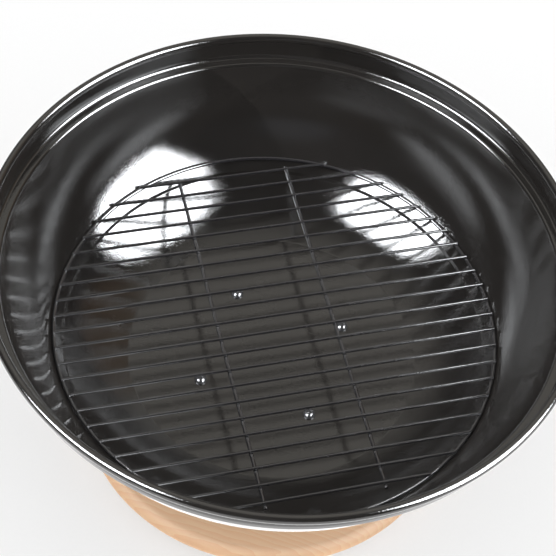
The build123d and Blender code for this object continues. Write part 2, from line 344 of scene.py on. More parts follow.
class Shade:
    """A small hand for building a node tree: adds nodes, feeds their inputs and links them."""

    def __init__(self, tree: bpy.types.NodeTree) -> None:
        """Takes the tree to build in."""
        self.tree = tree

    def plug(self, target: Socket, value: object) -> None:
        """Links a socket into an input, or sets the input to a value."""
        if isinstance(value, Socket):
            self.tree.links.new(value, target)
        elif target.type == "RGBA" and len(value) == 3:
            target.default_value = (*value, 1.0)
        else:
            target.default_value = value

    def feed(self, node: bpy.types.Node, **inputs: object) -> None:
        """Feeds a node's inputs, given by name with spaces written as underscores."""
        for key, value in inputs.items():
            name = key.replace("_", " ")
            target = next((s for s in node.inputs if s.name == name and s.enabled), node.inputs[name])
            self.plug(target, value)

    def node(self, kind: str, **sockets: object) -> bpy.types.Node:
        """Adds a node, sets its properties and feeds its inputs.

        Args:
            kind: Blender's name of the shader node type, without its common start.
            sockets: Values or output sockets by input name; a name that starts with a small letter is a
                property of the node.

        Returns:
            The new node.
        """
        made = self.tree.nodes.new(f"ShaderNode{kind}")
        for key in [key for key in sockets if key[0].islower()]:
            setattr(made, key, sockets.pop(key))
        self.feed(made, **sockets)
        return made

    def operate(self, kind: str, what: str, values: Sequence[object]) -> bpy.types.Node:
        """Adds a node that works on values or sockets, in the order of its inputs."""
        made = self.node(kind, operation=what)
        for target, value in zip(made.inputs, values):
            self.plug(target, value)
        return made

    def maths(self, what: str, *values: object) -> Socket:
        """Adds a Math node over values or sockets and returns its output."""
        return self.operate("Math", what, values).outputs[0]

    def product(self, first: Socket, *others: object) -> Socket:
        """Returns all the values multiplied together."""
        for other in others:
            first = self.maths("MULTIPLY", first, other)
        return first

    def total(self, first: Socket, *others: object) -> Socket:
        """Returns the sum of all the values."""
        for other in others:
            first = self.maths("ADD", first, other)
        return first

    def facing(self, way: Socket, axis: Sequence[float]) -> Socket:
        """Returns the dot product of two vectors."""
        return self.operate("VectorMath", "DOT_PRODUCT", (way, tuple(axis))).outputs["Value"]

    def spread(self, value: Socket, limits: Spot, to: Spot = (0.0, 1.0), soft: bool = False) -> Socket:
        """Maps a value from one range to another, held at its ends.

        Args:
            value: The value to map.
            limits: Start and end of the range it comes from.
            to: Start and end of the range it goes to.
            soft: Whether the ends are eased.

        Returns:
            The mapped value.
        """
        return self.node(
            "MapRange",
            interpolation_type="SMOOTHSTEP" if soft else "LINEAR",
            Value=value,
            From_Min=limits[0],
            From_Max=limits[1],
            To_Min=to[0],
            To_Max=to[1],
        ).outputs["Result"]

    def blend(self, share: Socket, first: object, second: object) -> Socket:
        """Mixes two colours by a share and returns the colour."""
        made = self.node("Mix", data_type="RGBA")
        colours = [s for s in made.inputs if s.type == "RGBA"]
        for target, value in zip((made.inputs[0], *colours), (share, first, second)):
            self.plug(target, value)
        return next(s for s in made.outputs if s.type == "RGBA")

    def place(self) -> Socket:
        """Returns the piece's own coordinates, in metres."""
        return self.node("TexCoord").outputs["Object"]

    def stretched(self, where: Socket, *scale: float) -> Socket:
        """Returns coordinates stretched along the three axes."""
        return self.node("Mapping", Vector=where, Scale=scale).outputs[0]

    def noise(self, where: Socket, scale: float, detail: float = 2.0, rough: float = 0.5) -> Socket:
        """Adds a noise texture and returns its value, from 0 to 1."""
        return self.node("TexNoise", Vector=where, Scale=scale, Detail=detail, Roughness=rough).outputs[0]

    def relief(self, height: Socket, strength: float, depth: float) -> Socket:
        """Returns the normal of a surface raised by a height times a depth in metres."""
        return self.node("Bump", Height=height, Strength=strength, Distance=depth).outputs[0]


def effect(name: str, inputs: dict[str, float], output: str, draw: Callable[[Shade, dict], Socket]):
    """Makes a shader node group once and returns it afterwards.

    Args:
        name: Name of the group.
        inputs: Its number inputs and their usual values.
        output: Name of its one output.
        draw: Draws the group from its input sockets and returns the output socket.

    Returns:
        The node group.
    """
    if name in bpy.data.node_groups:
        return bpy.data.node_groups[name]
    group = bpy.data.node_groups.new(name, "ShaderNodeTree")
    for key, value in inputs.items():
        socket = group.interface.new_socket(name=key, in_out="INPUT", socket_type="NodeSocketFloat")
        socket.default_value = value
    group.interface.new_socket(name=output, in_out="OUTPUT", socket_type="NodeSocketFloat")
    start, end = group.nodes.new("NodeGroupInput"), group.nodes.new("NodeGroupOutput")
    made = draw(Shade(group), {key: start.outputs[key] for key in inputs})
    group.links.new(made, end.inputs[output])
    return group


def draw_ripple(shade: Shade, weights: dict) -> Socket:
    """Draws a fired coat: height = peel noise (1.3 mm) + ripple noise (7 mm) + waves (60 mm), weighted."""
    here = shade.place()
    peel = shade.product(shade.noise(here, 780.0, 2.0, 0.6), weights["Peel"])
    ripple = shade.product(shade.noise(here, 140.0, 1.0), weights["Ripple"])
    wave = shade.product(shade.noise(here, 16.0, 1.0), weights["Wave"])
    return shade.total(peel, ripple, wave)


def draw_dust(shade: Shade, weights: dict) -> Socket:
    """Draws a film of dust: mask = amount (patches + specks), thicker where the surface looks up."""
    here = shade.place()
    patches = shade.spread(shade.noise(here, 22.0, 4.0, 0.6), (0.42, 0.72))
    specks = shade.spread(shade.noise(here, 1500.0, 1.0), (0.70, 0.80))
    normal = shade.node("SeparateXYZ", Vector=shade.node("NewGeometry").outputs["Normal"])
    upward = shade.spread(normal.outputs["Z"], (-0.2, 1.0), (0.35, 1.0))
    return shade.product(shade.total(patches, shade.product(specks, 0.8)), upward, weights["Amount"])


def draw_scratches(shade: Shade, weights: dict) -> Socket:
    """Draws fine scratches of turned or drawn metal: noise stretched fifty times along Z, sharpened."""
    lines = shade.noise(shade.stretched(shade.place(), 1.0, 1.0, 0.02), 3200.0, 3.0, 0.7)
    return shade.product(shade.spread(lines, (0.35, 0.75)), weights["Amount"])


# ---- finishes


@dataclass(frozen=True)
class Finish:
    """A finish: a named material, made once, and the record's material slot that it belongs to."""

    name: str
    slot: str

    def material(self) -> bpy.types.Material:
        """Returns the finish's material, drawing it the first time."""
        if self.name in bpy.data.materials:
            return bpy.data.materials[self.name]
        made = bpy.data.materials.new(self.name)
        made.use_nodes = True
        self.draw(Shade(made.node_tree), made.node_tree.nodes["Principled BSDF"])
        return made

    def draw(self, shade: Shade, surface: bpy.types.Node) -> None:
        """Draws the finish into the Principled shader."""
        raise NotImplementedError

    def ripple(self, shade: Shade, weights: Sequence[float]) -> Socket:
        """Returns the normal of a coat with the given weights of peel, ripple and waves."""
        group = effect("coat_ripple", {"Peel": 1.0, "Ripple": 1.0, "Wave": 1.0}, "Height", draw_ripple)
        coat = shade.node("Group", node_tree=group, Peel=weights[0], Ripple=weights[1], Wave=weights[2])
        return shade.relief(coat.outputs["Height"], 1.0, RIPPLE_DEPTH)

    def dust(self, shade: Shade, amount: float) -> Socket:
        """Returns the mask of the dust film."""
        group = effect("dust_film", {"Amount": 0.1}, "Mask", draw_dust)
        return shade.node("Group", node_tree=group, Amount=amount).outputs["Mask"]

    def scratched(self, shade: Shade, amount: float) -> Socket:
        """Returns the mask of the fine scratches."""
        group = effect("fine_scratches", {"Amount": 1.0}, "Mask", draw_scratches)
        return shade.node("Group", node_tree=group, Amount=amount).outputs["Mask"]


@dataclass(frozen=True)
class Enamel(Finish):
    """Fired black enamel, the same inside and outside the bowl."""

    colour: Colour = (0.0187, 0.0170, 0.0156)
    deep: Colour = (0.0148, 0.0135, 0.0128)
    dust_colour: Colour = (0.048, 0.045, 0.0435)
    cloud_scale: float = 9.0
    smear_scale: float = 30.0
    roughness: Spot = (0.03, 0.05)
    dust_share: float = 0.05
    dust_roughness: float = 0.5
    weights: tuple[float, float, float] = (1.6, 1.0, 8.0)
    # Specular level away from and inside the band of painted shade on the lip's inner face.
    gloss: Spot = (0.5, 0.14)
    ior: float = 1.52

    def draw(self, shade: Shade, surface: bpy.types.Node) -> None:
        """Draws a slightly clouded black, a fine orange peel and a trace of dust."""
        here = shade.place()
        film = self.dust(shade, self.dust_share)
        coat = shade.blend(shade.noise(here, self.cloud_scale, 3.0), self.deep, self.colour)
        smear = shade.spread(shade.noise(here, self.smear_scale, 3.0), NOISE_BAND, self.roughness)
        shade.feed(
            surface,
            Base_Color=shade.blend(film, coat, self.dust_colour),
            Roughness=shade.total(smear, shade.product(film, self.dust_roughness)),
            Normal=self.ripple(shade, self.weights),
            # Painted shade: in a band on the lip's inner face the specular level falls from 0.5 to 0.14, so the
            # lip shows dark there.
            Specular_IOR_Level=shade.spread(self.painted_shade_band(shade, here), (0.0, 1.0), self.gloss),
            IOR=self.ior,
        )

    @staticmethod
    def painted_shade_band(shade: Shade, here: Socket) -> Socket:
        """Returns the mask of a band on the lip's inner face, above the shoulder, where the specular level is
        lowered: painted shade that keeps the lip dark there.
        """
        split = shade.node("SeparateXYZ", Vector=here).outputs
        reach = shade.total(shade.maths("POWER", split["X"], 2.0), shade.maths("POWER", split["Y"], 2.0))
        return shade.product(
            shade.spread(split["Z"], (0.2030, 0.2050)),
            shade.spread(split["Z"], (0.2150, 0.2162), (1.0, 0.0)),
            shade.spread(reach, (0.2210**2, 0.2214**2), (1.0, 0.0)),
            shade.spread(reach, (0.2165**2, 0.2175**2)),
        )


@dataclass(frozen=True)
class WireCoat(Finish):
    """Black baked coat on the grate's wires."""

    colour: Colour = (0.0157, 0.0148, 0.0165)
    worn: Colour = (0.0190, 0.0182, 0.0200)
    dust_colour: Colour = (0.06, 0.06, 0.06)
    patch_scale: float = 85.0
    smear_scale: float = 120.0
    roughness: Spot = (0.08, 0.11)
    dust_share: float = 0.06
    weights: tuple[float, float, float] = (0.03, 0.2, 0.0)
    ior: float = 1.6

    def draw(self, shade: Shade, surface: bpy.types.Node) -> None:
        """Draws a smooth dark coat, slightly paler in patches, with a little dust."""
        here = shade.place()
        patches = shade.spread(shade.noise(here, self.patch_scale, 3.0), (0.35, 0.7))
        coat = shade.blend(patches, self.colour, self.worn)
        shade.feed(
            surface,
            Base_Color=shade.blend(self.dust(shade, self.dust_share), coat, self.dust_colour),
            Roughness=shade.spread(shade.noise(here, self.smear_scale), NOISE_BAND, self.roughness),
            Normal=self.ripple(shade, self.weights),
            IOR=self.ior,
        )


@dataclass(frozen=True)
class Steel(Finish):
    """Bare or plated steel, turned or drawn."""

    colour: Colour = (0.62, 0.61, 0.60)
    roughness: Spot = (0.16, 0.30)
    scratches: float = 0.5
    hollow_shade: float = 0.72
    hollow_scale: float = 120.0
    smear_scale: float = 60.0
    scratch_roughness: float = 0.12
    scratch_depth: float = 0.00001

    def draw(self, shade: Shade, surface: bpy.types.Node) -> None:
        """Draws metal with fine scratches, duller patches and darker hollows."""
        here = shade.place()
        mask = self.scratched(shade, self.scratches)
        hollow = tuple(self.hollow_shade * part for part in self.colour)
        smear = shade.spread(shade.noise(here, self.smear_scale, 3.0), NOISE_BAND, self.roughness)
        shade.feed(
            surface,
            Base_Color=shade.blend(shade.noise(here, self.hollow_scale, 3.0), hollow, self.colour),
            Roughness=shade.total(smear, shade.product(mask, self.scratch_roughness)),
            Metallic=1.0,
            Normal=shade.relief(mask, 0.6, self.scratch_depth),
        )


@dataclass(frozen=True)
class Wood(Finish):
    """Oiled light wood with its grain along X, glued up from staves."""

    light: Colour = (0.95, 0.64, 0.40)
    mid: Colour = (0.90, 0.53, 0.31)
    dark: Colour = (0.66, 0.37, 0.19)
    roughness: Spot = (0.55, 0.70)
    stave_width: float = 0.051
    stave_jump: float = 7.0
    pore_band: Spot = (0.70, 0.78)
    gloss: float = 0.12
    grain_depth: float = 0.00006

    def draw(self, shade: Shade, surface: bpy.types.Node) -> None:
        """Draws the year rings, fibres, pores and the slight change of tone from stave to stave."""
        split = shade.node("SeparateXYZ", Vector=shade.place()).outputs
        stave = shade.maths("FLOOR", shade.maths("DIVIDE", split["Y"], self.stave_width))
        shift = shade.node("TexWhiteNoise", noise_dimensions="1D", W=stave).outputs["Value"]
        jump = shade.product(shift, self.stave_jump)
        x, y = shade.total(split["X"], jump), shade.total(split["Y"], jump)
        spot = shade.node("CombineXYZ", X=x, Y=y, Z=split["Z"]).outputs[0]
        rings = shade.node(
            "TexWave",
            wave_type="BANDS",
            bands_direction="Y",
            wave_profile="SAW",
            Vector=shade.stretched(spot, 0.25, 1.0, 1.0),
            Scale=62.0,
            Distortion=7.0,
            Detail=2.0,
            Detail_Scale=1.4,
        ).outputs["Fac"]
        bend = shade.noise(shade.stretched(spot, 0.9, 12.0, 12.0), 3.0, 3.0)
        fibres = shade.noise(shade.stretched(spot, 0.03, 1.0, 1.0), 1400.0, 3.0, 0.6)
        specks = shade.noise(shade.stretched(spot, 0.06, 1.0, 1.0), 2600.0, 1.0)
        tone = self.light
        for value, limits, most, colour in (
            (rings, (0.1, 0.95), 0.85, self.mid),
            (fibres, (0.35, 0.75), 0.30, self.mid),
            (specks, self.pore_band, 0.55, self.dark),
            (shift, (0.0, 1.0), 0.30, self.mid),
            (bend, (0.35, 0.7), 0.22, self.light),
        ):
            tone = shade.blend(shade.spread(value, limits, (0.0, most)), tone, colour)
        height = shade.maths("SUBTRACT", shade.product(fibres, 0.5), shade.spread(specks, self.pore_band))
        shade.feed(
            surface,
            Base_Color=tone,
            Roughness=shade.spread(fibres, NOISE_BAND, self.roughness),
            Specular_IOR_Level=self.gloss,
            Normal=shade.relief(height, 0.5, self.grain_depth),
        )


@dataclass(frozen=True)
class Moulded(Finish):
    """Moulded rubber or pressed fibre: matt, with a fine grain."""

    colour: Colour = (0.022, 0.022, 0.023)
    grain_scale: float = 900.0
    grain_depth: float = 0.00003
    bloom: float = 0.07
    dust_share: float = 0.25
    roughness: Spot = (0.55, 0.80)

    def draw(self, shade: Shade, surface: bpy.types.Node) -> None:
        """Draws a matt dark colour with a grain and a dusty bloom."""
        grain = shade.noise(shade.place(), self.grain_scale, 3.0, 0.6)
        pale = tuple(part + self.bloom for part in self.colour)
        cloud = shade.blend(shade.spread(grain, (0.4, 0.8), (0.0, 0.5)), self.colour, pale)
        shade.feed(
            surface,
            Base_Color=shade.blend(self.dust(shade, self.dust_share), cloud, pale),
            Roughness=shade.spread(grain, NOISE_BAND, self.roughness),
            Normal=shade.relief(grain, 0.8, self.grain_depth),
        )


@dataclass(frozen=True)
class Finishes:
    """All the finishes of the grill."""

    enamel: Finish = Enamel("bowl_enamel", "enamel")
    wire: Finish = WireCoat("grate_wire_coat", "grate_wire")
    dark: Finish = Steel("dark_steel", "dark_steel", (0.15, 0.15, 0.16), (0.07, 0.12), 0.2)
    bright: Finish = Steel("bright_steel", "bright_steel")
    satin: Finish = Steel("satin_steel", "satin_steel", (0.56, 0.55, 0.54), (0.26, 0.40), 0.8)
    wood: Finish = Wood("oiled_light_wood", "light_wood")
    rubber: Finish = Moulded("foot_rubber", "foot_rubber")
    fibre: Finish = Moulded("heat_fibre", "heat_fibre", (0.10, 0.095, 0.09), 1600.0, 0.00005)


@dataclass
class Assembly:
    """A sub-assembly of the grill, which builds its pieces in its own finishes."""

    finishes: Finishes = Finishes()

    def build(self) -> list[Piece]:
        """Builds the pieces and returns them."""
        raise NotImplementedError


# ---- fire bowl


@dataclass
class FireBowl(Assembly):
    """The pressed, enamelled bowl: flat floor, curved wall, shoulder, upright lip and rolled rim.

    The gaps are what the runs and arcs leave free for the bends beside them: in millimetres on the floor and
    the lip, in degrees on the wall and the roll, and as a share of the floor's bend at its foot.
    """

    floor: float = 85.2
    centre_ring: float = 0.4
    flat_radius: float = 115.7
    floor_bend: float = 6.0
    wall_radius: float = 136.0
    arc_axis: float = 75.7862
    arc_plane: float = 216.1508
    step_depth: float = 0.9
    step_radius: float = 166.7
    step_half: float = 0.52
    step_bend: float = 1.2
    step_gap: float = 0.3
    shoulder_drop: float = 15.5
    shoulder_fall: float = 0.7
    shoulder_radius: float = 219.2
    shoulder_bend: float = 2.8
    lip_bend: float = 3.0
    lip_start: float = 3.2
    lip_in: float = 2.427
    lip_down: float = 1.763
    bead_axis: float = 222.84
    bead_rise: float = 2.8
    bead_radius: float = 3.59
    roll_end: float = -118.0
    roll_inside_end: float = 205.0
    floor_gap: float = 1.6
    foot_gap: float = 1.25
    top_gap: float = 1.3
    lip_gap: float = 0.5
    roll_gap: float = 9.0
    outer_floor_gap: float = 1.0
    outer_top_gap: float = 1.6
    outer_fillet: float = 1.6
    outer_fillet_shift: float = 0.7
    outer_ledge: float = 2.6
    sheet: float = 1.2
    columns: int = 384

    def profile(self) -> Profile:
        """Draws the sheet's section as one closed loop, from the middle of the floor round the rim and back.

        Inside: floor, lower wall arc, pressed step, upper wall arc, shoulder, lip, roll. Outside: the same
        line one sheet thickness away.

        Returns:
            The profile.
        """
        line = Profile()
        floor, t, gap, fillet = self.floor, self.sheet, self.step_gap, self.outer_fillet
        wall = (self.arc_axis, self.arc_plane)
        low = self.wall_radius + self.step_depth
        foot_angle = heading((self.flat_radius - self.arc_axis, floor - self.arc_plane))
        slope = foot_angle + 90.0
        half_bend = math.degrees(self.floor_bend * math.tan(math.radians(slope / 2)) / low)
        middle = -math.degrees(math.acos((self.step_radius - self.arc_axis) / self.wall_radius))
        step = (middle - self.step_half, middle + self.step_half)
        top = -math.degrees(math.asin((self.shoulder_drop + self.shoulder_fall) / self.wall_radius))
        wall_top = self.arc_axis + float(polar(self.wall_radius, top)[0])
        foot = np.array([self.shoulder_radius, self.arc_plane - self.shoulder_drop])
        ledge = foot[1] - self.shoulder_fall
        ledge_angle = heading((self.shoulder_radius - wall_top, self.shoulder_fall))
        bead = np.array([self.bead_axis, self.arc_plane + self.bead_rise])
        lip_angle = heading(bead - (self.lip_in, self.lip_down) - foot)
        lip, across = polar(1.0, lip_angle), polar(1.0, lip_angle - 90.0)
        along, aside = float((bead - foot) @ lip), float((bead - foot) @ across)
        reach = along - math.sqrt(self.bead_radius**2 - aside**2)

        # inside of the bowl
        line.run((self.centre_ring, floor), (self.flat_radius - self.floor_gap, floor), 6)
        line.bend((self.flat_radius, floor), 0.0, slope + half_bend, self.floor_bend, 8)
        line.arc(wall, low, foot_angle + self.foot_gap * half_bend, step[0] - gap, 24)
        self.jog(line, step, (low, self.wall_radius))
        line.arc(wall, self.wall_radius, step[1] + gap, top - self.top_gap, 40)
        line.bend((wall_top, ledge), top + 90.0, ledge_angle, self.shoulder_bend, 9)
        line.bend(foot, ledge_angle, lip_angle, self.lip_bend, 9)
        line.run(foot + lip * self.lip_start, foot + lip * (reach - self.lip_gap), 5)
        entry = heading(foot + lip * reach - bead) % 360.0
        line.arc(bead, self.bead_radius, entry - self.roll_gap, self.roll_end, 44)

        # back inside the roll and down the outside
        line.arc(bead, self.bead_radius - t, self.roll_end, self.roll_inside_end, 20)
        under = foot + across * t
        line.run(under + lip * (along - 2 * t), under + lip * t, 5)
        line.arc(foot, t, lip_angle - 90.0, -90.0, 6)
        line.run(foot - (0.0, t), (wall_top + self.outer_ledge, ledge - t), 3)
        corner = (wall_top + self.outer_fillet_shift * t + fillet, ledge - t - fillet)
        line.arc(corner, fillet, 90.0, 180.0 + top, 6)
        line.arc(wall, self.wall_radius + t, top - self.outer_top_gap, step[1] + gap, 16)
        self.jog(line, step[::-1], (self.wall_radius + t, low + t))
        line.arc(wall, low + t, step[0] - gap, foot_angle + half_bend, 12)
        line.run((self.flat_radius - self.outer_floor_gap, floor - t), (self.centre_ring, floor - t), 6)
        return line

    def jog(self, line: Profile, angles: Spot, radii: Spot) -> None:
        """Crosses from one wall arc to another with a short straight run between two small bends.

        Args:
            line: The profile to add to.
            angles: Where the run starts and ends, in degrees round the middle of the arcs.
            radii: Radius of the arc it leaves and of the arc it joins.
        """
        middle = np.array([self.arc_axis, self.arc_plane])
        start, end = (middle + polar(radius, angle) for angle, radius in zip(angles, radii))
        turn = 90.0 if angles[1] > angles[0] else -90.0
        across = heading(end - start)
        line.bend(start, angles[0] + turn, across, self.step_bend, 4)
        line.bend(end, across, angles[1] + turn, self.step_bend, 4)

    def build(self) -> list[Piece]:
        """Builds the bowl as one closed surface that stands for the node of that name."""
        surface = lathe(self.profile(), self.columns)
        return [add_piece("fire_bowl", surface, self.finishes.enamel, Body.GRILL, "bowl")]


# ---- charcoal grate


@dataclass
class CharcoalGrate(Assembly):
    """The lift-out grate: a wire hoop, two bars under it and twenty-two rods welded across."""

    ring_radius: float = 173.8
    ring_wire: float = 3.0
    ring_plane: float = 124.5565
    bar_wire: float = 3.0
    bar_offset: float = 46.0
    bar_overhang: float = 4.0
    rod_wire: float = 2.5
    rod_count: int = 22
    rod_angle: float = 31.6
    outer_rod: float = 154.35
    rod_overhang: float = 0.8
    overhang_play: float = 0.35
    pitch_play: float = 0.12
    weld_depth: float = 0.12
    weld_inset: float = 0.1
    hoop_weld: tuple[float, float, float] = (1.0, 1.25, 0.62)
    bar_weld: tuple[float, float, float] = (1.15, 1.0, 0.55)
    wire_edge: float = 0.45
    wire_centre: float = 0.25
    seed: int = 7

    @property
    def rod_plane(self) -> float:
        """Height of the middle of the rods."""
        return self.ring_plane + self.ring_wire / 2 + self.rod_wire / 2 - self.weld_depth

    def hoop(self) -> Surface:
        """Draws the hoop: a circle of the wire's radius, in 24 parts, carried round the grate's axis."""
        circle = Profile()
        circle.arc((self.ring_radius, self.ring_plane), self.ring_wire / 2, 0.0, -360.0 * 23 / 24, 23)
        return lathe(circle, 300, Ends.LOOP)

    def wire(self, start: float, end: float, diameter: float) -> Surface:
        """Draws a straight wire along X with softly rounded ends.

        Args:
            start: Where it starts along X.
            end: Where it ends.
            diameter: Its thickness.

        Returns:
            The surface of the wire, lying on the X axis.
        """
        r, edge, hole = diameter / 2, self.wire_edge, self.wire_centre
        line = Profile()
        line.run((hole, start), (r - edge, start))
        line.arc((r - edge, start + edge), edge, -90.0, 0.0, 4)
        line.run((r, start + edge), (r, end - edge), 24)
        line.arc((r - edge, end - edge), edge, 0.0, 90.0, 4)
        line.run((r - edge, end), (hole, end))
        return lathe(line, 16).turned_over().placed(turning(90.0, Axis.Y))

    @staticmethod
    def nugget(size: Sequence[float]) -> Surface:
        """Draws a weld's bead: a ball stretched to three half sizes, its normals divided by them."""
        ball = Profile()
        ball.arc((0.0, 0.0), 1.0, 86.0, -86.0, 6)
        made = lathe(ball, 10)
        made.points = made.points * size
        made.normals = made.normals / size
        made.normals /= np.linalg.norm(made.normals, axis=1, keepdims=True)
        return made

    def rod(self, number: int, chance: np.random.Generator) -> Surface:
        """Draws one rod with its welds.

        Args:
            number: Which rod, from 0.
            chance: Source of the small differences from rod to rod.

        Returns:
            The rod and the beads where it crosses the hoop and the bars.
        """
        across = number * 2 * self.outer_rod / (self.rod_count - 1) - self.outer_rod
        half = math.sqrt(self.ring_radius**2 - across**2)
        ends = half + self.rod_overhang + chance.uniform(-self.overhang_play, self.overhang_play, 2)
        across += chance.uniform(-self.pitch_play, self.pitch_play)
        contact = self.rod_plane - self.rod_wire / 2
        parts = [self.wire(-ends[0], ends[1], self.rod_wire).moved(0.0, across, self.rod_plane)]
        bead = self.nugget(self.hoop_weld)
        parts += [bead.moved(side * (half - self.weld_inset), across, contact) for side in (-1, 1)]
        if half > self.bar_offset:
            bead = self.nugget(self.bar_weld)
            parts += [bead.moved(side * self.bar_offset, across, contact) for side in (-1, 1)]
        return Surface.joined(parts).placed(turning(self.rod_angle))

    def build(self) -> list[Piece]:
        """Builds the hoop, the bars and the rods, each standing for its own node."""
        chance = np.random.default_rng(self.seed)
        coat = self.finishes.wire
        pieces = [add_piece("hoop", self.hoop(), coat, Body.GRATE, "grate_ring")]
        reach = self.outer_rod + self.bar_overhang
        bar_plane = self.rod_plane - self.rod_wire / 2 - self.bar_wire / 2 + self.weld_depth
        for number, side in enumerate((1, -1), 1):
            bar = self.wire(-reach, reach, self.bar_wire)
            bar = bar.placed(turning(90.0), (side * self.bar_offset, 0.0, bar_plane))
            bar = bar.placed(turning(self.rod_angle))
            pieces.append(add_piece(f"cross_bar_{number}", bar, coat, Body.GRATE, f"grate_bar_{number}"))
        for number in range(self.rod_count):
            rod, mark = self.rod(number, chance), f"rod_{number + 1:02d}"
            pieces.append(add_piece(mark, rod, coat, Body.GRATE, f"grate_{mark}"))
        return pieces


# ---- fasteners


@dataclass
class DomedScrew:
    """A screw with a ball-shaped head and a cross recess, standing with its head's seat at height 0."""

    head_radius: float
    head_height: float
    head_side: float
    drive_width: float
    drive_slot: float
    drive_depth: float
    shank_radius: float
    length: float
    pitch: float
    threaded: float
    tip: float
    tip_radius: float
    columns: int = 96
    dome_rows: int = 46
    seat_edge: float = 0.15
    recess_wall: float = 0.025
    recess_slope: float = 0.45
    thread_share: float = 0.22

    def head_top(self) -> Surface:
        """Draws the dome on a polar grid: z = ball(r) - recess(x, y), the recess a cross with soft walls."""
        dome = self.head_height - self.head_side
        ball = (self.head_radius**2 + dome**2) / (2 * dome)
        r = self.head_radius * (1.0 - np.linspace(0.0, 1.0, self.dome_rows, endpoint=False))[::-1][:, None]
        a = (np.arange(self.columns) * FULL_TURN / self.columns)[None, :]
        x, y = r * np.cos(a), r * np.sin(a)

        def wall(distance: np.ndarray) -> np.ndarray:
            """Soft step from 0 outside to 1 inside."""
            return 1.0 / (1.0 + np.exp(-np.clip(distance / self.recess_wall, -40, 40)))

        arm_x = wall(self.drive_width / 2 - np.abs(x)) * wall(self.drive_slot / 2 - np.abs(y))
        arm_y = wall(self.drive_width / 2 - np.abs(y)) * wall(self.drive_slot / 2 - np.abs(x))
        slope = 1.0 - self.recess_slope * np.clip(r / (self.drive_width / 2), 0.0, 1.0)
        recess = self.drive_depth * np.maximum(arm_x, arm_y) * slope
        z = self.head_height - ball + np.sqrt(ball**2 - r**2) - recess
        return Surface.grid(x, y, z).close_pole(self.columns, last=False)

    def below(self) -> Surface:
        """Draws the head's side, its seat and the shank, with a thread round its end.

        The thread's radius is shank - depth |saw(z / pitch - a / turn)|.

        Returns:
            The surface below the dome, open at the top edge of the head.
        """
        side, r, edge, shank = self.head_side, self.head_radius, self.seat_edge, self.shank_radius
        start, end = self.threaded - self.length, self.tip - self.length
        line = Profile()
        line.run((r, side), (r, edge), 2)
        line.arc((r - edge, edge), edge, 0.0, -90.0, 2)
        line.run((r - edge, 0.0), (shank, 0.0), 2)
        line.run((shank, 0.0), (shank, start), 2)
        line.run((shank, start), (shank, end), int(self.threaded / self.pitch * 8))
        line.run((shank, end), (self.tip_radius, -self.length), 3)
        surface = lathe(line, self.columns, Ends.LAST_POLE)
        x, y, z = surface.points.T
        radius = np.hypot(x, y)
        saw = np.abs((z / self.pitch - np.arctan2(y, x) / FULL_TURN) % 1.0 - 0.5) * 2.0
        on_thread = (z < start - 0.01) & (z > end - 0.01) & (radius > self.tip_radius)
        depth = np.where(on_thread, self.thread_share * self.pitch * saw, 0.0)
        surface.points[:, :2] *= (1.0 - depth / np.maximum(radius, 1e-6))[:, None]
        return surface

    def surface(self) -> Surface:
        """Returns the whole screw, with normals worked out from its faces."""
        whole = Surface.joined([self.head_top(), self.below()])
        whole.settle_normals()
        return whole


@dataclass
class Nut:
    """A hexagon nut with chamfered corners, standing on height 0."""

    flats: float = 8.0
    thickness: float = 4.0
    bore_radius: float = 2.55
    bore_edge: float = 0.25
    face_edge: float = 0.15
    corner_cut: float = 0.30
    chamfer: float = 0.35
    chamfer_middle: float = 0.55
    columns: int = 96

    def surface(self) -> Surface:
        """Draws the nut: at each height the outline is the smaller of the hexagon and the chamfer's circle.

        Hexagon: r(a) = flats / 2 / cos(a folded into plus or minus 30 degrees).

        Returns:
            The closed surface of the nut.
        """
        h, c, f, edge = self.thickness, self.chamfer, self.flats / 2, self.bore_edge
        a = np.arange(self.columns) * FULL_TURN / self.columns
        hexagon = f / np.cos((a + math.pi / 6) % (math.pi / 3) - math.pi / 6)
        cut = np.minimum(hexagon, f / math.cos(math.pi / 6) - self.corner_cut)
        bore, face = np.full_like(a, self.bore_radius), np.full_like(a, f - self.face_edge)
        half = [(bore, edge), (bore + edge, 0.0), (face, 0.0), (cut, c * self.chamfer_middle), (hexagon, c)]
        rows = half + [(radius, h - height) for radius, height in half[::-1]]
        r = np.array([radius for radius, _ in rows])
        z = np.array([np.full_like(a, height) for _, height in rows])
        made = Surface.grid(r * np.cos(a), r * np.sin(a), z, closed=True)
        made.quads = made.quads[:, ::-1]
        return made


def ring_plate(
    inner: float, outer: float, bottom: float, top: float, edge: float, columns: int = 72
) -> Surface:
    """Draws a flat ring or a tube: a rectangle with round corners carried round the axis.

    Args:
        inner: Radius of the hole.
        outer: Outer radius.
        bottom: Lower height.
        top: Upper height.
        edge: Radius of its four edges.
        columns: Steps round the axis.

    Returns:
        The closed surface.
    """
    sides = ((outer - edge, top - edge), (outer - edge, bottom + edge), (inner + edge, bottom + edge))
    middles = np.array((*sides, (inner + edge, top - edge)))
    line = Profile()
    for corner, angle in enumerate((90.0, 0.0, -90.0, -180.0)):
        line.run(middles[corner - 1] + polar(edge, angle), middles[corner] + polar(edge, angle))
        line.arc(middles[corner], edge, angle, angle - 90.0, 4)
    return lathe(line, columns, Ends.LOOP)


